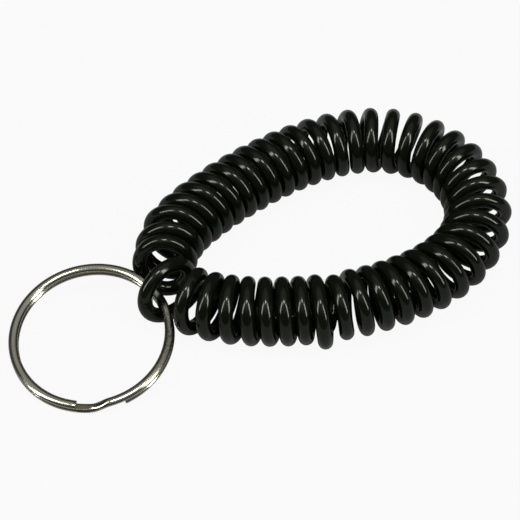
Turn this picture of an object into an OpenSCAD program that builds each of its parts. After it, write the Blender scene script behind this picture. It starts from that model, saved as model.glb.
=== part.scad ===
// Spiral wrist-coil key holder: a plastic cord wound into a coil whose two ends are
// bonded, so that the coil closes into an oval loop, with a split key ring threaded
// through its last turn. Millimetres, +Z up. The origin is on the floor plane, at the
// middle of the wrist opening; +X runs along the loop, away from the key ring.

/* [Cord] */
// Diameter of the round cord
cord_d = 2.75; // [2.4:0.05:3]
// Outer diameter of the coil that the cord is wound into
coil_d = 12.7; // [11.6:0.1:14.5]
// Number of turns in the closed loop
turns = 43; // [38:1:54]
// Least pitch of the turns over the cord's diameter, where they lie closest
turn_gap = 0.07; // [0.06:0.01:0.3]

/* [Loop] */
// Width of the loop's outline divided by its length
loop_aspect = 0.607; // [0.56:0.001:0.75]
// Sharpening of the outline at the key ring's end
loop_point = 0.0606; // [0:0.0001:0.08]
// Narrowing of the outline towards the key ring's end
loop_taper = 0.0365; // [0:0.0001:0.05]
// Lean of the outline along its length
loop_lean = 0.0502; // [0:0.0001:0.06]
// Bow of the outline to one side
loop_bow = 0.0376; // [0:0.0001:0.05]
// How far past the loop's pointed end the key ring crosses, along the inside of the bends
ring_past_tip = 2.41; // [1:0.01:3]

/* [Bonded ends] */
// Turn in which the cord's two ends lie side by side
end_turn = 8; // [7:1:9]
// Length of each end's share of the overlap, in turns
end_lap = 0.24; // [0.2:0.01:0.26]
// Clearance between the two bonded ends
end_fit = 0.06; // [0.03:0.01:0.15]

/* [Key ring] */
// Outer diameter of the split ring
ring_d = 30; // [26:0.5:34]
// Width of its flattened wire, across the ring
wire_w = 1.7; // [1.5:0.05:2.1]
// Height of its wire, along the ring's axis
wire_h = 1.1; // [1:0.02:1.4]
// Gap between its two laps
lap_gap = 0.04; // [0.02:0.01:0.1]
// Angle over which the wire climbs from the lower lap to the upper one
climb_angle = 14; // [10:1:20]
// Clear angle between each end of the wire and that climb
end_gap_angle = 10.5; // [8:0.5:14]
// Where the climb starts, counted from the coil
climb_at = 245.5; // [230:0.5:270]
// How far the ring's wire passes inside the middle of its turn
ring_reach = 2.73; // [2.55:0.01:2.9]
// How high the ring passes above the strand that lies on the floor
ring_lift = 1.22; // [1:0.02:1.5]

/* [Hidden] */

function turn_name(k) = str("coil_turn_", k < 10 ? "0" : "", k);

coil_r = (coil_d - cord_d) / 2;
pitch = cord_d + turn_gap;
deg = 180 / PI;

// How finely the curves are worked out
outline_steps = 720;
turn_steps = 20;
room_steps = 16;
cord_sides = 8;
ring_step = 5;

// Room between the turns, over the pitch, at shares of the way round
room_knots = [
    [0, 0.05], [0.025, 0.17], [0.05, 0.185], [0.1, 0.075], [0.15, 0], [0.21, 0.305],
    [0.28, 0.165], [0.37, 0.185], [0.47, 0.065], [0.56, 0], [0.65, 0.315], [0.75, 0.19],
    [0.84, 0.33], [0.9, 0.195], [0.95, 0], [1, 0.05]
];
// Extra room at the bonded ends, and the number of turns over which it fades
end_room = 0.29;
end_room_width = 1.04;

// Lean of each turn along the loop, in degrees, at shares of the way round
lean_knots = [
    [0, -10.9], [0.035, -7.6], [0.07, -3.7], [0.16, -6.6], [0.26, 0.1], [0.35, 3.6],
    [0.44, 3.8], [0.53, -1.7], [0.6, -11.5], [0.7, -0.1], [0.79, 2.2], [0.86, 7.7],
    [0.93, 14.9], [0.97, -2.2], [1, -10.9]
];

// The ring's wire stands between two turns and pushes both of them away
ring_h = 2 * wire_h + lap_gap;
beside_wire = (wire_w + cord_d) / 2;
push_back = beside_wire - 0.564 * ring_h;
push_on = beside_wire + 0.3179 * coil_d - 2.1 * pitch;
// Slack that the turns beside the ring take up:
// turns past the last one, width in turns, outward, along the loop
ring_slack = [
    [-1.7, 0.5, -0.49 * ring_h, 0.29 * ring_h],
    [-0.72, 0.33, -0.69 * ring_h, -push_back],
    [0.3, 0.36, 0.21 * ring_h, -0.89 * ring_h],
    [1.25, 0.3, -0.05 * ring_h, push_on]
];
// The bonded turn bulges outward a little, and leans back against the turn before it
end_bulge = 1.55;
end_shift = -0.4;
end_bulge_width = 0.35;
end_bulge_at = end_turn + 0.48;
// Middle of the overlap
end_mid = end_turn + 0.38;
// Where the second end rejoins the coil's own path
end_merge = end_turn + 0.92;
// Direction in which the second end is tucked beside the first
tuck_angle = 80;
tuck = cord_d + end_fit;

// ---- the loop's outline, before it is scaled to its real length
function outline(t) = [
    cos(t) - loop_point * cos(2 * t) - loop_lean * sin(2 * t),
    loop_aspect * sin(t) + loop_bow * cos(2 * t) + loop_taper * sin(2 * t)
];
function outline_way(t) = atan2(
    loop_aspect * cos(t) - 2 * loop_bow * sin(2 * t) + 2 * loop_taper * cos(2 * t),
    -sin(t) + 2 * loop_point * sin(2 * t) - 2 * loop_lean * cos(2 * t)
);
way_start = outline_way(0);
function turned(i) = i == outline_steps
    ? 360
    : (outline_way(360 * i / outline_steps) - way_start + 720.001) % 360 - 0.001;

outline_sum = [
    for (
        i = 0, s = 0;
        i <= outline_steps;
        s = s + norm(outline(360 * (i + 1) / outline_steps) - outline(360 * i / outline_steps)),
        i = i + 1
    ) s
];

// ---- the turns' places, measured along the inside of the bends, where they touch
function room_at(u) = lookup((u - 1) / turns, room_knots)
    + end_room * exp(-pow((u - end_bulge_at) / end_room_width, 2));
room_sum = [
    for (
        i = 0, g = 0;
        i <= turns * room_steps;
        g = g + (room_at(1 + i / room_steps) + room_at(1 + (i + 1) / room_steps)) / (2 * room_steps),
        i = i + 1
    ) [i / room_steps, g]
];
room_total = room_sum[turns * room_steps][1];
inner_length = turns * pitch + room_total;
loop_length = inner_length + 2 * PI * coil_r;
loop_scale = loop_length / outline_sum[outline_steps];
inner_table = [
    for (i = [0 : outline_steps])
        [outline_sum[i] * loop_scale - coil_r * turned(i) / deg, 360 * i / outline_steps]
];
// The first turn follows the place where the ring crosses the last one
ring_at_u = turns + 0.3;
first_turn_at = inner_table[outline_steps / 2][0] + ring_past_tip
    + (turns + 1 - ring_at_u) * pitch;

// ---- the cord's path; crest k is at u = k
function wrap(u) = (u - 1 + 4 * turns) % turns;
function inner_at(u) = (
    pitch * wrap(u) + lookup(wrap(u), room_sum) + first_turn_at
) % inner_length;
function outline_at(u) = lookup(inner_at(u), inner_table);
function fade(x, w) = exp(-pow(x / w, 2));
function turns_from(u, at) = (u - at + 4.5 * turns) % turns - turns / 2;
function ease(x) = let (c = min(1, max(0, x))) c * c * (3 - 2 * c);

function slack(u, i) = sum_up(
    [for (s = ring_slack) s[i] * fade(turns_from(u, turns + s[0]), s[1])]
);
function sum_up(v) = v * [for (x = v) 1];

// The second end is tucked inside the first; tucked is 1 on the overlap and 0 elsewhere
function tucked(u, second) = second
    ? 1 - ease((u - end_mid - end_lap) / (end_merge - end_mid - end_lap))
    : 0;

function middle(u) = let (c = outline(outline_at(u)) * loop_scale) [c[0], c[1], coil_d / 2];
function along(u) = let (a = outline_way(outline_at(u))) [cos(a), sin(a), 0];
function outward(u) = let (t = along(u)) [t[1], -t[0], 0];
function spoke(u) = let (
    lean = lookup(wrap(u) / turns, lean_knots),
    side = cos(lean) * outward(u) + sin(lean) * along(u)
) cos(360 * u) * [0, 0, 1] + sin(360 * u) * side;

function path(u, second = false) = let (
    tuck_now = tuck * tucked(u, second),
    bonded = fade(turns_from(u, end_bulge_at), end_bulge_width),
    out = slack(u, 2) + end_bulge * bonded,
    shift = slack(u, 3) + end_shift * bonded + tuck_now * cos(tuck_angle)
) middle(u) + (coil_r - tuck_now * sin(tuck_angle)) * spoke(u)
    + out * outward(u) + shift * along(u);

function unit(v) = v / norm(v);
function heading(u, second) = unit(path(u + 0.005, second) - path(u - 0.005, second));

// One ring of points round the cord; its flats face the next strand
cord_corner_r = cord_d / 2 * sqrt(2 * PI / cord_sides / sin(360 / cord_sides));
function cord_ring(u, second) = let (
    h = heading(u, second),
    b = unit(cross(h, spoke(u))),
    n = cross(b, h),
    c = path(u, second)
) [for (i = [0 : cord_sides - 1]) let (a = 360 * (i + 0.5) / cord_sides)
    c + cord_corner_r * (cos(a) * n + sin(a) * b)];

// ---- a closed skin over rings of points, each with the same number of corners
module swept(rings) {
    n = len(rings[0]);
    m = len(rings);
    polyhedron(
        points = [for (r = rings) each r],
        faces = concat(
            [[for (i = [0 : n - 1]) i]],
            [[for (i = [0 : n - 1]) m * n - 1 - i]],
            [for (j = [0 : m - 2]) for (i = [0 : n - 1])
                [j * n + i, (j + 1) * n + i, (j + 1) * n + (i + 1) % n]],
            [for (j = [0 : m - 2]) for (i = [0 : n - 1])
                [j * n + i, (j + 1) * n + (i + 1) % n, j * n + (i + 1) % n]]
        )
    );
}

// ---- one turn of the cord; the two turns that hold its ends run to the overlap
// The cuts lie on the inside of the loop, where the strand runs straight up: there the cut
// faces part at once when the loop stretches, however far the turns lean
cut_before_crest = 0.25;
module coil_turn(k) {
    second = k == end_turn + 1;
    from = second ? end_mid - end_lap : k - cut_before_crest;
    to = k == end_turn ? end_mid + end_lap : k + 1 - cut_before_crest;
    steps = ceil(turn_steps * (to - from));
    color("#161816")
        swept([for (i = [0 : steps]) cord_ring(from + (to - from) * i / steps, second)]);
}

// ---- the split ring, in its own frame: +X points at the coil, +Z along its axis
wire_r = (ring_d - wire_w) / 2;
ring_aim = 26.6;
ring_tip_turn = 39.7;
coil_side = unit(cos(ring_aim) * outward(ring_at_u) - sin(ring_aim) * along(ring_at_u));
wire_pass_h = cord_d + ring_h / 2 + ring_lift;
// The ring lies on the floor at its far side and is lifted where it passes the coil
ring_tilt = asin((wire_pass_h - ring_h / 2) / wire_r / (1 + cos(ring_tip_turn)));
ring_mid = middle(ring_at_u) + (wire_r + ring_reach) * coil_side;
ring_z = ring_h / 2 * cos(ring_tilt) + (wire_r + wire_w / 4) * sin(ring_tilt);
ring_way = atan2(-coil_side[1], -coil_side[0]);

module ring_frame() {
    translate([ring_mid[0], ring_mid[1], ring_z])
        rotate([0, 0, ring_way + ring_tip_turn])
            rotate([0, -ring_tilt, 0])
                rotate([0, 0, -ring_tip_turn])
                    children();
}

// The wire starts on the lower lap, climbs once and ends on the upper lap
wire_start = climb_at + climb_angle + end_gap_angle;
wire_climb = climb_at + 360;
wire_end = climb_at + 720 - end_gap_angle;
wire_corner = 0.42;
leaf_from = wire_end - 180;

function wire_z(a) = (ring_h - wire_h) / 2 * (2 * ease((a - wire_climb) / climb_angle) - 1);
function wire_ring(a) = let (
    x = wire_w / 2,
    z = wire_h / 2,
    c = wire_corner
) [for (p = [[x, z - c], [x - c, z], [c - x, z], [-x, z - c],
            [-x, c - z], [c - x, -z], [x - c, -z], [x, c - z]])
    [(wire_r + p[0]) * cos(a), (wire_r + p[0]) * sin(a), wire_z(a) + p[1]]];

module wire(from, to) {
    steps = ceil((to - from) / ring_step);
    swept([for (i = [0 : steps]) wire_ring(from + (to - from) * i / steps)]);
}

// ---- lower lap, climb and first part of the upper lap
module ring_body() {
    color("#9a978f") ring_frame() wire(wire_start, leaf_from);
}

// ---- the half lap that springs open to take a key
module ring_leaf() {
    color("#a8a59c") ring_frame() wire(leaf_from, wire_end);
}

for (k = [1 : turns])
    coil_turn(k);
ring_body();
ring_leaf();
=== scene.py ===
# %% [markdown]
# # A spiral wrist-coil key holder
#
# The real thing is two pieces. A soft plastic cord is wound round a rod and set by heat, so
# that it springs back into a close coil, and its two ends are bonded so that the coil closes
# into an oval loop for the wrist. A split ring of plated steel wire hangs in one of the
# turns. The lesson here is that both are a *section carried along a path*, so that one
# function makes every surface, and the care goes into the paths and the finishes.

# %% Load the fixed frame
import math

import bpy
import numpy as np
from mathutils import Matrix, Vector


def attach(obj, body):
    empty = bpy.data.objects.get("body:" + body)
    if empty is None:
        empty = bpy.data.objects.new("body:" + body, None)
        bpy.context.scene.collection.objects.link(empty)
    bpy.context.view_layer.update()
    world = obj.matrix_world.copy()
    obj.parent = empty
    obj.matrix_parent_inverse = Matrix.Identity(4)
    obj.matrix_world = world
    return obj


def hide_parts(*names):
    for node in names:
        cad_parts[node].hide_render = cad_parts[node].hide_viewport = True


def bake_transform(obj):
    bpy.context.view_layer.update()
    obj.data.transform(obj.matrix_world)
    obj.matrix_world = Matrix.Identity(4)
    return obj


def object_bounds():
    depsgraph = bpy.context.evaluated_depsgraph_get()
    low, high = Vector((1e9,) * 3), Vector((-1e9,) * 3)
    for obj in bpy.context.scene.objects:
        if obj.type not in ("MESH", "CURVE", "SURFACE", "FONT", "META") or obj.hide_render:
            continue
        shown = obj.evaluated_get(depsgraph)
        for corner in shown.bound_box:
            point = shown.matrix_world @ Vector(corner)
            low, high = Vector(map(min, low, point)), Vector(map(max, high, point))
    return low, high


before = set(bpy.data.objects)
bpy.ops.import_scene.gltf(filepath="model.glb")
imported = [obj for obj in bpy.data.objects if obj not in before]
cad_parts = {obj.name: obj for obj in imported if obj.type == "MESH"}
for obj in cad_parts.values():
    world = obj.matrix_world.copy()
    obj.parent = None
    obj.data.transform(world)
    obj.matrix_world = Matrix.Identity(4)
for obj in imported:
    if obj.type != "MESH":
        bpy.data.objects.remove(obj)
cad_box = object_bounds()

MM = 0.001

# %% [markdown]
# The part's source works out its shape from a few sizes in millimetres. The same sizes stand
# here, because the finer surfaces below have to lie exactly where the solids lie.

# %% Sizes of the cord and its loop, in millimetres
cord_d, coil_d, turns, turn_gap = 2.75, 12.7, 43, 0.07
loop_aspect, loop_point, loop_taper = 0.607, 0.0606, 0.0365
loop_lean, loop_bow = 0.0502, 0.0376
ring_past_tip = 2.41
coil_r = (coil_d - cord_d) / 2
pitch = cord_d + turn_gap

end_turn, end_lap, end_fit = 8, 0.24, 0.06
end_mid, end_merge = end_turn + 0.38, end_turn + 0.92
end_bulge, end_shift, end_bulge_width = 1.55, -0.4, 0.35
end_bulge_at = end_turn + 0.48
end_room, end_room_width = 0.29, 1.04
tuck, tuck_angle = cord_d + end_fit, math.radians(80)

# Room between the turns over the pitch, and lean of the turns in degrees, each at shares
# of the way round the loop
room_knots = np.array([
    [0, 0.05], [0.025, 0.17], [0.05, 0.185], [0.1, 0.075], [0.15, 0], [0.21, 0.305],
    [0.28, 0.165], [0.37, 0.185], [0.47, 0.065], [0.56, 0], [0.65, 0.315], [0.75, 0.19],
    [0.84, 0.33], [0.9, 0.195], [0.95, 0], [1, 0.05],
])
lean_knots = np.array([
    [0, -10.9], [0.035, -7.6], [0.07, -3.7], [0.16, -6.6], [0.26, 0.1], [0.35, 3.6],
    [0.44, 3.8], [0.53, -1.7], [0.6, -11.5], [0.7, -0.1], [0.79, 2.2], [0.86, 7.7],
    [0.93, 14.9], [0.97, -2.2], [1, -10.9],
])

# %% Sizes of the split ring, in millimetres
ring_d, wire_w, wire_h, lap_gap = 30, 1.7, 1.1, 0.04
climb_angle, end_gap_angle, climb_at = 14, 10.5, 245.5
ring_reach, ring_lift = 2.73, 1.22
ring_h = 2 * wire_h + lap_gap
wire_r = (ring_d - wire_w) / 2
ring_at_u = turns + 0.3
ring_aim, ring_tip_turn = math.radians(26.6), math.radians(39.7)

# The ring's wire pushes the turns beside it away: turns past the last one, width in turns,
# outward, along the loop
beside_wire = (wire_w + cord_d) / 2
push_back = beside_wire - 0.564 * ring_h
push_on = beside_wire + 0.3179 * coil_d - 2.1 * pitch
ring_slack = [
    (-1.7, 0.5, -0.49 * ring_h, 0.29 * ring_h),
    (-0.72, 0.33, -0.69 * ring_h, -push_back),
    (0.3, 0.36, 0.21 * ring_h, -0.89 * ring_h),
    (1.25, 0.3, -0.05 * ring_h, push_on),
]

# %% [markdown]
# ## The loop that the coil follows
#
# The coil's middle line is a flat oval. A plain ellipse would do for a new one, but a worn
# coil settles into an egg shape that leans and bows a little, so four small terms at twice
# the angle are added to the ellipse. The turns are then spaced along the *inside* of the
# bends, because that is where neighbouring turns touch.

# %% The oval and the turns' places on it
def outline(t):
    """Point of the oval at angle t: an ellipse plus four terms in cos 2t and sin 2t."""
    x = np.cos(t) - loop_point * np.cos(2 * t) - loop_lean * np.sin(2 * t)
    y = loop_aspect * np.sin(t) + loop_bow * np.cos(2 * t) + loop_taper * np.sin(2 * t)
    return np.stack([x, y], -1)


def outline_way(t):
    """Direction of the oval at angle t: the arctangent of its derivative."""
    dx = -np.sin(t) + 2 * loop_point * np.sin(2 * t) - 2 * loop_lean * np.cos(2 * t)
    dy = (loop_aspect * np.cos(t) - 2 * loop_bow * np.sin(2 * t)
          + 2 * loop_taper * np.cos(2 * t))
    return np.arctan2(dy, dx)


def fade(x, width):
    """A bell: e to the minus (x / width) squared."""
    return np.exp(-(x / width) ** 2)


def ease(x):
    """Smooth step from 0 to 1: 3x^2 - 2x^3, held flat outside."""
    x = np.clip(x, 0, 1)
    return x * x * (3 - 2 * x)


outline_points = 721
t_steps = np.linspace(0, 2 * np.pi, outline_points)
arc = np.linalg.norm(np.diff(outline(t_steps), axis=0), axis=1)
arc = np.concatenate([[0], np.cumsum(arc)])
turned = np.unwrap(outline_way(t_steps))
turned -= turned[0]

steps_per_turn = 16
u_steps = np.arange(0, turns * steps_per_turn + 1) / steps_per_turn
room = np.interp(u_steps / turns, room_knots[:, 0], room_knots[:, 1])
room += end_room * fade(u_steps + 1 - end_bulge_at, end_room_width)
room_sum = np.concatenate([[0], np.cumsum((room[1:] + room[:-1]) / (2 * steps_per_turn))])

inner_length = turns * pitch + room_sum[-1]
loop_scale = (inner_length + 2 * np.pi * coil_r) / arc[-1]
inner_arc = arc * loop_scale - coil_r * turned
tip_arc = inner_arc[len(inner_arc) // 2]
first_turn_at = tip_arc + ring_past_tip + (turns + 1 - ring_at_u) * pitch
print("loop of", round(arc[-1] * loop_scale, 1), "mm along its middle line")

# %% [markdown]
# ## The path of the cord
#
# At parameter u the cord has made u turns. Its centre line is the oval's point plus a spoke
# that goes round once for each turn. Three small corrections bend the ideal coil into the
# real one: the turns lean, the key ring's wire pushes its neighbours aside, and where the
# two ends are bonded the cord bulges and the second end is tucked in beside the first.

# %% Frame and path at every turn
def wrap(u):
    """Turns since the first crest, from 0 up to the number of turns."""
    return (u - 1 + 4 * turns) % turns


def turns_from(u, at):
    """Signed turns between u and a place, the short way round."""
    return (u - at + 4.5 * turns) % turns - turns / 2


def loop_frame(u):
    """Middle, along, outward and spoke at u: the oval's point, its tangent, the level normal,
    and cos(2 pi u) up + sin(2 pi u) sideways, where sideways leans along the loop."""
    w = wrap(u)
    s = (pitch * w + np.interp(w, u_steps, room_sum) + first_turn_at) % inner_length
    t = np.interp(s, inner_arc, t_steps)
    way, zero = outline_way(t), np.zeros(len(u))
    middle = np.column_stack([outline(t) * loop_scale, np.full(len(u), coil_d / 2)])
    along = np.column_stack([np.cos(way), np.sin(way), zero])
    outward = np.column_stack([np.sin(way), -np.cos(way), zero])
    lean = np.radians(np.interp(w / turns, lean_knots[:, 0], lean_knots[:, 1]))[:, None]
    side = np.cos(lean) * outward + np.sin(lean) * along
    turn = 2 * np.pi * u[:, None]
    spoke = np.cos(turn) * np.array([0, 0, 1.0]) + np.sin(turn) * side
    return middle, along, outward, spoke


def cord_path(u, second=False):
    """Centre line of the cord at u: middle + radius * spoke, plus bells that push it outward
    and along the loop beside the key ring and at the bonded ends."""
    middle, along, outward, spoke = loop_frame(u)
    bonded = fade(turns_from(u, end_bulge_at), end_bulge_width)
    out, shift = end_bulge * bonded, end_shift * bonded
    for past, width, slack_out, slack_along in ring_slack:
        bell = fade(turns_from(u, turns + past), width)
        out += slack_out * bell
        shift += slack_along * bell
    tucked = np.zeros(len(u))
    if second:
        tucked = tuck * (1 - ease((u - end_mid - end_lap) / (end_merge - end_mid - end_lap)))
    shift += tucked * math.cos(tuck_angle)
    radius = coil_r - tucked * math.sin(tuck_angle)
    return middle + radius[:, None] * spoke + out[:, None] * outward + shift[:, None] * along


stations = 60
all_u = np.arange(1, turns + 1, 1 / stations)
cord_length = np.linalg.norm(np.diff(cord_path(all_u), axis=0), axis=1).sum()
print("developed length of the cord", round(cord_length), "mm, at", stations, "stations a turn")

# %% [markdown]
# ## A section carried along a path
#
# Both pieces are swept: at every station of the path stands one ring of points. As arrays,
# the stations and the section's corners make a grid, and the grid's quads are known from its
# size alone. Each point also stores where it lies *in the cord's own measure*: millimetres
# along, and the two distances across. A pattern on that measure stays on the material when
# the coil stretches, which one on places in space would not.

# %% From a grid of points to a mesh
def grid_faces(rows, columns):
    """Quads of a tube: corner (i, j), its neighbour round the section, and the next row."""
    i = np.arange(rows - 1)[:, None] * columns
    j = np.arange(columns)[None, :]
    k = (j + 1) % columns
    return np.stack([i + j, i + k, i + columns + k, i + columns + j], -1).reshape(-1, 4)


def swept_mesh(name, grid, measure, weights):
    """A closed tube from grid[row, corner] with flat ends, its measure and its bending weight.
    The ends have rings of their own, so that their edges stay sharp."""
    rows, columns = grid.shape[:2]
    sides = grid_faces(rows, columns)
    first = np.arange(columns)[::-1] + rows * columns
    last = np.arange(columns) + (rows + 1) * columns
    points = np.concatenate([grid.reshape(-1, 3), grid[0], grid[-1]]) * MM
    mesh = bpy.data.meshes.new(name)
    mesh.from_pydata(points, [], [*sides.tolist(), first.tolist(), last.tolist()])
    mesh.polygons.foreach_set("use_smooth", [True] * len(sides) + [False, False])
    for label, kind, values in (
        ("measure", "FLOAT_VECTOR", measure),
        ("weight", "FLOAT", weights),
    ):
        whole = np.concatenate([values.reshape(rows * columns, -1), values[0].reshape(columns, -1),
                                values[-1].reshape(columns, -1)])
        field = "vector" if kind == "FLOAT_VECTOR" else "value"
        layer = mesh.attributes.new(label, kind, "POINT")
        layer.data.foreach_set(field, whole.astype(np.float32).ravel())
    piece = bpy.data.objects.new(name, mesh)
    bpy.context.scene.collection.objects.link(piece)
    return piece


def bend_between(piece):
    """Applies the piece's placement to its mesh and reads its bending weights, which are not
    used further here."""
    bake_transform(piece)
    values = np.empty(len(piece.data.vertices), np.float32)
    piece.data.attributes["weight"].data.foreach_get("value", values)


# %% [markdown]
# ## The coiled cord
#
# Each turn moves on its own body when the loop is stretched, so the cord is made in spans
# that run from the middle of one turn to the middle of the next.
# An extruded cord is never quite round: the die leaves slow swells of a hundredth of a
# millimetre or so. They make a highlight waver on soft plastic, so they are in the mesh and
# not only in the finish.

# %% Points of the cord's skin
cord_sides = 32
heading_step = 0.002
swell_size, swell_count = 0.006, 14
# Waves of the skin: radians in each millimetre along, how many go round, and their sizes
slowest, quickest, most_round, least_size = 0.15, 1.6, 4, 0.2
rng = np.random.default_rng(7)
swell_waves = [(rng.uniform(slowest, quickest), rng.integers(0, most_round),
                rng.uniform(0, 2 * np.pi), rng.uniform(least_size, 1))
               for _ in range(swell_count)]


def swell(length, angle):
    """Slow waves on the skin: a sum of size * sin(rate * length + count * angle + phase)."""
    waves = sum(size * np.sin(length * rate + angle * count + phase)
                for rate, count, phase, size in swell_waves)
    return swell_size * waves


def length_at(u):
    """Millimetres of cord from the first crest to u, by the mean length of a turn."""
    return wrap(u) * cord_length / turns


def cord_span(name, start, end, weight, second=False):
    """One span of cord from u = start to end: a circle of the cord's radius, square to the
    path's direction, its first corner on the spoke. weight(u) is stored on it as its bending
    weight."""
    u = np.linspace(start, end, int(np.ceil((end - start) * stations)) + 1)
    heading = cord_path(u + heading_step, second) - cord_path(u - heading_step, second)
    heading /= np.linalg.norm(heading, axis=1)[:, None]
    spoke = loop_frame(u)[3]
    across = np.cross(heading, spoke)
    across /= np.linalg.norm(across, axis=1)[:, None]
    up = np.cross(across, heading)
    angle = np.linspace(0, 2 * np.pi, cord_sides, endpoint=False)
    c, s = np.cos(angle)[None, :, None], np.sin(angle)[None, :, None]
    length = np.broadcast_to(length_at(u)[:, None], (len(u), cord_sides))
    radius = cord_d / 2 + swell(length, angle[None, :])
    reach = c * up[:, None] + s * across[:, None]
    grid = cord_path(u, second)[:, None] + radius[..., None] * reach
    measure = np.stack([length, radius * np.cos(angle), radius * np.sin(angle)], -1)
    weights = np.broadcast_to(weight(u)[:, None], (len(u), cord_sides))
    return swept_mesh(name, grid, measure, weights)


# %% One span for each turn
def turn_name(k):
    """Name of the body of turn k."""
    return f"coil_turn_{k:02d}"


cord_pieces = []
past_crest = 0.25  # a quarter turn past the crest is the middle of a solid
for k in [k for k in range(1, turns + 1) if k != end_turn]:
    middle_a, middle_b = k + past_crest, k + 1 + past_crest
    start = end_mid - end_lap if k == end_turn + 1 else middle_a
    end = end_mid + end_lap if k == end_turn - 1 else middle_b
    piece = cord_span(f"cord_span_{k:02d}", start, end,
                      lambda u, a=middle_a: np.clip(u - a, 0, 1), second=k == end_turn + 1)
    ends = cord_path(np.array([middle_a, middle_b]))
    bend_between(piece)
    stands_for = [turn_name(k)] + ([turn_name(end_turn)] if k == end_turn - 1 else [])
    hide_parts(*stands_for)
    cord_pieces.append(piece)
cord_faces = sum(len(piece.data.polygons) for piece in cord_pieces)
print(len(cord_pieces), "spans of cord,", cord_faces, "faces")

# %% [markdown]
# ## The split ring
#
# The wire is flattened spring steel, wound nearly twice round and then plated. Its section
# is a rounded rectangle, which a superellipse gives in one formula. The wire rises once from
# the lower lap to the upper one, and beside that climb it is pressed flat so that a key can
# be pushed in. Both ends are sheared: each has a small chamfer, and the end on top has a burr
# on its upper edge.

# %% Place of the ring
middle, along, outward, _ = (a[0] for a in loop_frame(np.array([ring_at_u])))
coil_side = math.cos(ring_aim) * outward - math.sin(ring_aim) * along
wire_pass_h = cord_d + ring_h / 2 + ring_lift
ring_tilt = math.asin((wire_pass_h - ring_h / 2) / wire_r / (1 + math.cos(ring_tip_turn)))
ring_mid = middle + (wire_r + ring_reach) * coil_side
ring_mid[2] = ring_h / 2 * math.cos(ring_tilt) + (wire_r + wire_w / 4) * math.sin(ring_tilt)
ring_way = math.atan2(-coil_side[1], -coil_side[0])


def turn_z(a):
    """Rotation matrix about Z."""
    return np.array([[math.cos(a), -math.sin(a), 0], [math.sin(a), math.cos(a), 0], [0, 0, 1]])


def turn_y(a):
    """Rotation matrix about Y."""
    return np.array([[math.cos(a), 0, math.sin(a)], [0, 1, 0], [-math.sin(a), 0, math.cos(a)]])


ring_turn = turn_z(ring_way + ring_tip_turn) @ turn_y(-ring_tilt) @ turn_z(-ring_tip_turn)
print("ring's middle", np.round(ring_mid, 2), "tilt", round(math.degrees(ring_tilt), 1))

# %% Points of the wire's skin
wire_start = climb_at + climb_angle + end_gap_angle
wire_climb = climb_at + 360
wire_end = climb_at + 720 - end_gap_angle
half_turn, degree = 180, math.radians(1)
wire_sides, wire_step = 48, 1.2
corner_power = 1.85
press_depth, press_lead, press_edge = 0.10, 3, 2
burr_height, burr_length, burr_power = 0.12, 0.16, 4
leaf_from = wire_end - half_turn
# Rows near a sheared end: their distance from the cut, and how much narrower the section is
# there, both over the chamfer
end_chamfer = 0.07
cut_rows = end_chamfer * np.array([0.0, 0.25, 0.6, 1.0, 2.0])
cut_inset = end_chamfer * np.array([1.0, 0.45, 0.12, 0.0, 0.0])


def wire_rows(start, end, cut_start, cut_end):
    """Angles of the stations, in degrees, and how far the section is drawn in there. A sheared
    end has rows close together, over which the section narrows by the chamfer."""
    a = np.linspace(start, end, int((end - start) / wire_step) + 1)
    near = np.degrees(cut_rows / wire_r)
    inset = np.zeros(len(a))
    if cut_start:
        a = np.concatenate([start + near, a[1:]])
        inset = np.concatenate([cut_inset, inset[1:]])
    if cut_end:
        a = np.concatenate([a[:-1], end - near[::-1]])
        inset = np.concatenate([inset[:-1], cut_inset[::-1]])
    return a, inset


def wire_span(name, start, end, cut_start, cut_end, weight):
    """The ring's wire from one angle to another: a superellipse |x/w|^n + |z/h|^n = 1 at
    radius wire_r, rising smoothly from the lower lap to the upper one at the climb. The press
    limits z before the climb, and the burr adds a bell to z at the cut end's upper edge."""
    a, inset = wire_rows(start, end, cut_start, cut_end)
    angle = np.linspace(0, 2 * np.pi, wire_sides, endpoint=False)
    c, s = np.cos(angle), np.sin(angle)
    x = (wire_w / 2 - inset)[:, None] * np.sign(c) * np.abs(c) ** (2 / corner_power)
    z = (wire_h / 2 - inset)[:, None] * np.sign(s) * np.abs(s) ** (2 / corner_power)
    before_climb = wire_climb - a
    press = (ease((end_gap_angle + press_lead - before_climb) / press_edge)
             * ease(before_climb / press_edge))
    z = np.minimum(z, wire_h / 2 - press_depth * press[:, None])
    if cut_end:
        from_cut = (end - a) * degree * wire_r
        z += burr_height * np.outer(fade(from_cut, burr_length), np.clip(s, 0, 1) ** burr_power)
    lap = (ring_h - wire_h) / 2 * (2 * ease((a - wire_climb) / climb_angle) - 1)
    turn = np.radians(a)[:, None]
    local = np.stack([(wire_r + x) * np.cos(turn), (wire_r + x) * np.sin(turn),
                      z + lap[:, None]], -1)
    grid = local @ ring_turn.T + ring_mid
    length = np.broadcast_to(wire_r * turn, x.shape)
    measure = np.stack([length, x, z], -1)
    weights = np.broadcast_to(weight(a)[:, None], x.shape)
    return swept_mesh(name, grid, measure, weights)


# %% Lower lap and springing leaf
leaf_bend_angle = 50
ring_lap = wire_span("ring_wire_lower", wire_start, leaf_from, True, False, lambda a: 0 * a)
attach(ring_lap, "ring_body")
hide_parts("ring_body")

ring_leaf = wire_span("ring_wire_leaf", leaf_from, wire_end, False, True,
                      lambda a: ease((a - leaf_from) / leaf_bend_angle))
bend_between(ring_leaf)
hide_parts("ring_leaf")
print("ring faces", len(ring_lap.data.polygons) + len(ring_leaf.data.polygons))

# %% [markdown]
# ## Finishes
#
# Three small helpers are enough for node materials: one turns a hex colour into the linear
# numbers that Blender works in, one adds a node with its settings and links, and one starts
# an empty material.

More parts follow.
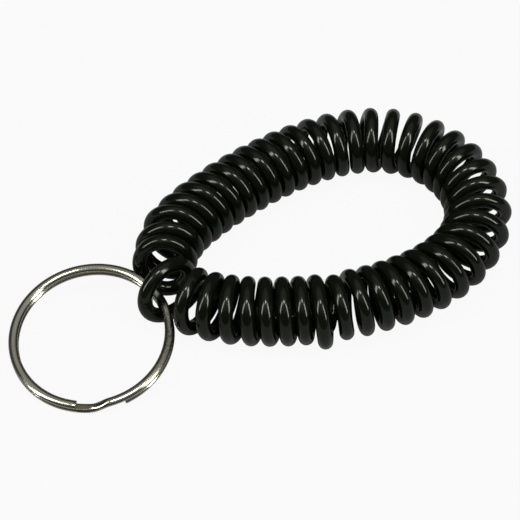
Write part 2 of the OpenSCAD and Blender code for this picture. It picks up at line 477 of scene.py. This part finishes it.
# %% Colour and node helpers
def linear(hex_colour):
    """sRGB hex to linear: ((c + 0.055) / 1.055) ^ 2.4 above 0.04045, c / 12.92 below."""
    c = np.array([int(hex_colour[i:i + 2], 16) for i in (1, 3, 5)]) / 255
    c = np.where(c <= 0.04045, c / 12.92, ((c + 0.055) / 1.055) ** 2.4)
    return (*c.tolist(), 1.0)


def add_node(tree, kind, settings=None, links=None):
    """Adds a node, sets its properties or sockets by name, and links its inputs."""
    node = tree.nodes.new(kind)
    for key, value in (settings or {}).items():
        if isinstance(key, int) or key in node.inputs:
            node.inputs[key].default_value = value
        else:
            setattr(node, key, value)
    for key, source in (links or {}).items():
        tree.links.new(source, node.inputs[key])
    return node


def new_material(name):
    """An empty node material and its output node."""
    material = bpy.data.materials.new(name)
    material.use_nodes = True
    material.node_tree.nodes.clear()
    return material, material.node_tree, material.node_tree.nodes.new("ShaderNodeOutputMaterial")


# %% [markdown]
# ### Gloss black soft plastic
#
# The cord is extruded thermoplastic polyurethane, coloured with carbon black. It is nearly
# black under a clear, tight gloss, with an index of refraction near 1.5. The die leaves fine
# lines along the cord, handling leaves a haze of hair scratches, and a little dust sits on
# it. Each of these is a pattern on the cord's own measure.

# %% Cord material
def cord_finish():
    """Near-black plastic under a clear gloss; its roughness follows the haze."""
    material, tree, out = new_material("extruded_black_polyurethane_gloss")
    where = add_node(tree, "ShaderNodeAttribute", {"attribute_name": "measure"}).outputs["Vector"]
    # Slow waviness of the skin, a millimetre or two across
    slow = add_node(tree, "ShaderNodeTexNoise", {"Scale": 0.55, "Detail": 2.0}, {"Vector": where})
    # Die lines: long along the cord, a tenth of a millimetre across
    stretch = add_node(tree, "ShaderNodeMapping", {"Scale": (0.06, 1.0, 1.0)}, {"Vector": where})
    lines = add_node(tree, "ShaderNodeTexNoise", {"Scale": 5.0, "Detail": 3.0},
                     {"Vector": stretch.outputs[0]})
    # Haze of fine handling marks
    haze = add_node(tree, "ShaderNodeTexNoise", {"Scale": 1.8, "Detail": 6.0, "Roughness": 0.65},
                    {"Vector": where})
    rough = add_node(tree, "ShaderNodeMapRange",
                     {"From Min": 0.3, "From Max": 0.7, "To Min": 0.10, "To Max": 0.18},
                     {"Value": haze.outputs[0]})
    # Dust, as sparse specks
    dust = add_node(tree, "ShaderNodeTexNoise", {"Scale": 6.0, "Detail": 2.0}, {"Vector": where})
    speck = add_node(tree, "ShaderNodeMapRange", {"From Min": 0.70, "From Max": 0.78},
                     {"Value": dust.outputs[0]})
    tint = add_node(tree, "ShaderNodeMix",
                    {"data_type": "RGBA", 6: linear("#080b05"), 7: linear("#0d120a")},
                    {0: slow.outputs[0]})
    dusty = add_node(tree, "ShaderNodeMix", {"data_type": "RGBA", 7: linear("#2a2b29")},
                     {0: speck.outputs[0], 6: tint.outputs[2]})
    bump_slow = add_node(tree, "ShaderNodeBump", {"Strength": 1.0, "Distance": 0.00002},
                         {"Height": slow.outputs[0]})
    bump = add_node(tree, "ShaderNodeBump", {"Strength": 1.0, "Distance": 0.000003},
                    {"Height": lines.outputs[0], "Normal": bump_slow.outputs[0]})
    skin = add_node(tree, "ShaderNodeBsdfPrincipled",
                    {"IOR": 1.5, "Specular IOR Level": 0.38, "Specular Tint": linear("#f8fff2")},
                    {"Base Color": dusty.outputs[2], "Roughness": rough.outputs[0],
                     "Normal": bump.outputs[0]})
    tree.links.new(skin.outputs[0], out.inputs[0])
    return material


black_cord = cord_finish()
for piece in cord_pieces:
    piece.data.materials.append(black_cord)

# %% [markdown]
# ### Bright nickel on spring steel
#
# Nickel plate is a slightly warm grey metal. The wire is drawn and rolled before it is
# plated, so fine lines run along it, and tumbling leaves an even, very fine grain. Where
# the lap is pressed flat the surface is duller, and its colour there is painted darker as
# shade of the narrow gap between the wire's end and the next lap. The specks on the arm
# that the cord has rubbed are duller and darker.

# %% Ring material
pressed_half = wire_r * degree * end_gap_angle / 2
pressed_at = wire_r * degree * wire_climb - pressed_half
# The second number is how far the pressed lap's colour is darkened, as painted shade of the gap at
# the wire's end.
pressed_edge, pressed_shade_level = 0.3, 0.65
rubbed_half = wire_r * degree * 48
rubbed_at = wire_r * degree * (2 * 360 - 30)


def near_length(tree, length, at, half, edge):
    """0 farther than half from a place along the wire, rising to 1 over the edge inside."""
    past = add_node(tree, "ShaderNodeMath", {"operation": "SUBTRACT", 1: at}, {0: length})
    away = add_node(tree, "ShaderNodeMath", {"operation": "ABSOLUTE"}, {0: past.outputs[0]})
    return add_node(tree, "ShaderNodeMapRange", {"From Min": half, "From Max": half - edge},
                    {"Value": away.outputs[0]}).outputs[0]


def ring_finish():
    """Nickel plate whose roughness and tint follow the worn, pressed and rubbed places. The
    tint of the pressed lap is painted darker, as shade of the gap at the wire's end.
    """
    material, tree, out = new_material("bright_nickel_plated_spring_steel")
    where = add_node(tree, "ShaderNodeAttribute", {"attribute_name": "measure"}).outputs["Vector"]
    # Rolling lines: long along the wire, a tenth of a millimetre across
    stretch = add_node(tree, "ShaderNodeMapping", {"Scale": (0.05, 1.0, 1.0)}, {"Vector": where})
    lines = add_node(tree, "ShaderNodeTexNoise", {"Scale": 6.0, "Detail": 3.0},
                     {"Vector": stretch.outputs[0]})
    grain = add_node(tree, "ShaderNodeTexNoise", {"Scale": 5.0, "Detail": 5.0, "Roughness": 0.7},
                     {"Vector": where})
    patch = add_node(tree, "ShaderNodeTexNoise", {"Scale": 0.14, "Detail": 2.0}, {"Vector": where})
    worn = add_node(tree, "ShaderNodeMapRange", {"From Min": 0.45, "From Max": 0.75},
                    {"Value": patch.outputs[0]})
    # The pressed lap, and the arm that the cord rubs, by their places along the wire
    along = add_node(tree, "ShaderNodeSeparateXYZ", {}, {0: where}).outputs[0]
    pressed = near_length(tree, along, pressed_at, pressed_half, pressed_edge)
    rubbed = near_length(tree, along, rubbed_at, rubbed_half, rubbed_half)
    speck = add_node(tree, "ShaderNodeMapRange", {"From Min": 0.42, "From Max": 0.56},
                     {"Value": grain.outputs[0]})
    rubs = add_node(tree, "ShaderNodeMath", {"operation": "MULTIPLY"},
                    {0: rubbed, 1: speck.outputs[0]})
    marked = add_node(tree, "ShaderNodeMath", {"operation": "MAXIMUM"},
                      {0: pressed, 1: rubs.outputs[0]})
    dull_wear_and_painted_shade = add_node(tree, "ShaderNodeMath", {"operation": "MAXIMUM"},
                    {0: worn.outputs[0], 1: marked.outputs[0]})
    spread = add_node(tree, "ShaderNodeMapRange", {"To Min": 0.12, "To Max": 0.30},
                      {"Value": dull_wear_and_painted_shade.outputs[0]})
    uneven = add_node(tree, "ShaderNodeMapRange",
                      {"From Min": 0.25, "From Max": 0.8, "To Min": -0.03, "To Max": 0.04},
                      {"Value": grain.outputs[0]})
    rough = add_node(tree, "ShaderNodeMath", {"operation": "ADD"},
                     {0: spread.outputs[0], 1: uneven.outputs[0]})
    # Dull places take the darker nickel: wear at the worn patches and rubbed specks, painted shade
    # at the pressed lap.
    plain = add_node(tree, "ShaderNodeMix",
                     {"data_type": "RGBA", 6: linear("#bfbdad"), 7: linear("#a7a591")},
                     {0: dull_wear_and_painted_shade.outputs[0]})
    # Painted shade: the pressed lap is pulled towards the dark olive nickel, standing in for the
    # shade in the gap between the wire's end and the next lap. The rubbed specks take the same
    # dark colour as wear.
    pressed_painted_shade = add_node(tree, "ShaderNodeMath", {"operation": "MULTIPLY", 1: pressed_shade_level},
                    {0: pressed})
    rub_wear_and_painted_shade = add_node(tree, "ShaderNodeMath", {"operation": "MAXIMUM"},
                      {0: rubs.outputs[0], 1: pressed_painted_shade.outputs[0]})
    tint = add_node(tree, "ShaderNodeMix", {"data_type": "RGBA", 7: linear("#525141")},
                    {0: rub_wear_and_painted_shade.outputs[0], 6: plain.outputs[2]})
    bump_lines = add_node(tree, "ShaderNodeBump", {"Strength": 1.0, "Distance": 0.000001},
                          {"Height": lines.outputs[0]})
    pits = add_node(tree, "ShaderNodeMath", {"operation": "MULTIPLY"},
                    {0: grain.outputs[0], 1: dull_wear_and_painted_shade.outputs[0]})
    bump = add_node(tree, "ShaderNodeBump", {"Strength": 1.0, "Distance": 0.000004},
                    {"Height": pits.outputs[0], "Normal": bump_lines.outputs[0]})
    plate = add_node(tree, "ShaderNodeBsdfPrincipled", {"Metallic": 1.0},
                     {"Base Color": tint.outputs[2], "Roughness": rough.outputs[0],
                      "Normal": bump.outputs[0]})
    tree.links.new(plate.outputs[0], out.inputs[0])
    return material


nickel = ring_finish()
ring_lap.data.materials.append(nickel)
ring_leaf.data.materials.append(nickel)

# %% [markdown]
# ## Floor, light and camera
#
# Gloss black shows nothing but what it reflects, so the lamps are the drawing here. Two tall
# soft boxes stand to the left and right, a little under halfway up, and draw the two thin
# lines that meet on each turn. A small one overhead brightens the point where they meet.
# Light Path's Is Camera Ray makes the floor and the world pale where they are seen straight
# on, and a little of that is added for glossy and transmission rays.

# %% Share of the pale background
floor_seen, world_seen, background_mirrored = 0.93, 0.95, 0.05


def background_share(tree, seen_level):
    """seen_level for camera rays, a small share for glossy and transmission rays, else 0:
    max(seen_level * camera, background_mirrored * max(glossy, transmission))."""
    path = add_node(tree, "ShaderNodeLightPath").outputs
    mirrored = add_node(tree, "ShaderNodeMath", {"operation": "MAXIMUM"},
                        {0: path["Is Glossy Ray"], 1: path["Is Transmission Ray"]})
    partly = add_node(tree, "ShaderNodeMath", {"operation": "MULTIPLY", 1: background_mirrored},
                      {0: mirrored.outputs[0]})
    direct = add_node(tree, "ShaderNodeMath", {"operation": "MULTIPLY", 1: seen_level},
                      {0: path["Is Camera Ray"]})
    return add_node(tree, "ShaderNodeMath", {"operation": "MAXIMUM"},
                    {0: direct.outputs[0], 1: partly.outputs[0]}).outputs[0]


# %% Floor
floor_below, floor_size = 0.00002, 3.0
floor_z = cad_box[0][2] - floor_below
floor_mesh = bpy.data.meshes.new("floor")
half = floor_size / 2
floor_mesh.from_pydata([(-half, -half, floor_z), (half, -half, floor_z), (half, half, floor_z),
                        (-half, half, floor_z)], [], [(0, 1, 2, 3)])
floor = bpy.data.objects.new("floor", floor_mesh)
bpy.context.scene.collection.objects.link(floor)

paper, tree, out = new_material("pale_paper_floor")
share = background_share(tree, floor_seen)
shade = add_node(tree, "ShaderNodeBsdfDiffuse", {"Color": linear("#a4a4a4")})
glow = add_node(tree, "ShaderNodeEmission", {"Strength": 1.0})
pick = add_node(tree, "ShaderNodeMixShader", {},
                {0: share, 1: shade.outputs[0], 2: glow.outputs[0]})
tree.links.new(pick.outputs[0], out.inputs[0])
floor_mesh.materials.append(paper)
print("floor", floor_size, "m wide, at", round(floor_z * 1000, 2), "mm")

# %% World: a room that is dark at the horizon and paler overhead
paler_from, paler_to, dark_level, pale_level = 0.62, 0.88, 0.03, 0.40
world = bpy.data.worlds.new("studio")
bpy.context.scene.world = world
world.use_nodes = True
tree = world.node_tree
tree.nodes.clear()
towards = add_node(tree, "ShaderNodeTexCoord").outputs["Generated"]
height = add_node(tree, "ShaderNodeSeparateXYZ", {}, {0: towards})
level = add_node(tree, "ShaderNodeMapRange",
                 {"From Min": paler_from, "From Max": paler_to,
                  "To Min": dark_level, "To Max": pale_level},
                 {"Value": height.outputs[2]})
strength = add_node(tree, "ShaderNodeMath", {"operation": "MAXIMUM"},
                    {0: background_share(tree, world_seen), 1: level.outputs[0]})
fill = add_node(tree, "ShaderNodeBackground", {"Color": linear("#ffffff")},
                {"Strength": strength.outputs[0]})
add_node(tree, "ShaderNodeOutputWorld", {}, {0: fill.outputs[0]})
print("world", dark_level, "at the horizon and", pale_level, "overhead")

# %% Soft boxes
lamp_distance = 1.0


def soft_box(name, azimuth, elevation, width, height, radiance):
    """A rectangular lamp that faces the origin. Its power is radiance * pi * area."""
    lamp = bpy.data.lights.new(name, "AREA")
    lamp.shape = "RECTANGLE"
    lamp.size, lamp.size_y = width, height
    lamp.energy = radiance * math.pi * width * height
    box = bpy.data.objects.new(name, lamp)
    a, e = math.radians(azimuth), math.radians(elevation)
    box.location = Vector((math.cos(a) * math.cos(e), math.sin(a) * math.cos(e),
                           math.sin(e))) * lamp_distance
    box.rotation_euler = (-box.location).to_track_quat("-Z", "Y").to_euler()
    bpy.context.scene.collection.objects.link(box)
    print(name, round(lamp.energy, 2), "W")


soft_box("soft_box_right", azimuth=-53, elevation=40, width=0.16, height=0.90, radiance=11.8)
soft_box("soft_box_left", azimuth=179, elevation=40, width=0.16, height=0.90, radiance=9.4)
soft_box("soft_box_top", azimuth=-113, elevation=82, width=0.24, height=0.14, radiance=20)

# %% Camera
camera_data = bpy.data.cameras.new("camera")
camera_data.lens = 129.5
camera_data.sensor_width = 36
camera_data.sensor_fit = "HORIZONTAL"
camera = bpy.data.objects.new("camera", camera_data)
camera.location = (-0.10286, -0.20545, 0.27105)
aim = Vector((-0.01245, 0.00159, 0.0))
camera.rotation_euler = (aim - camera.location).to_track_quat("-Z", "Y").to_euler()
bpy.context.scene.collection.objects.link(camera)
bpy.context.scene.camera = camera
bpy.context.scene.view_settings.view_transform = "Standard"

# %% Size of the visual model beside the frame
print("cad box", np.round(np.array(cad_box) * 1000, 2).tolist())
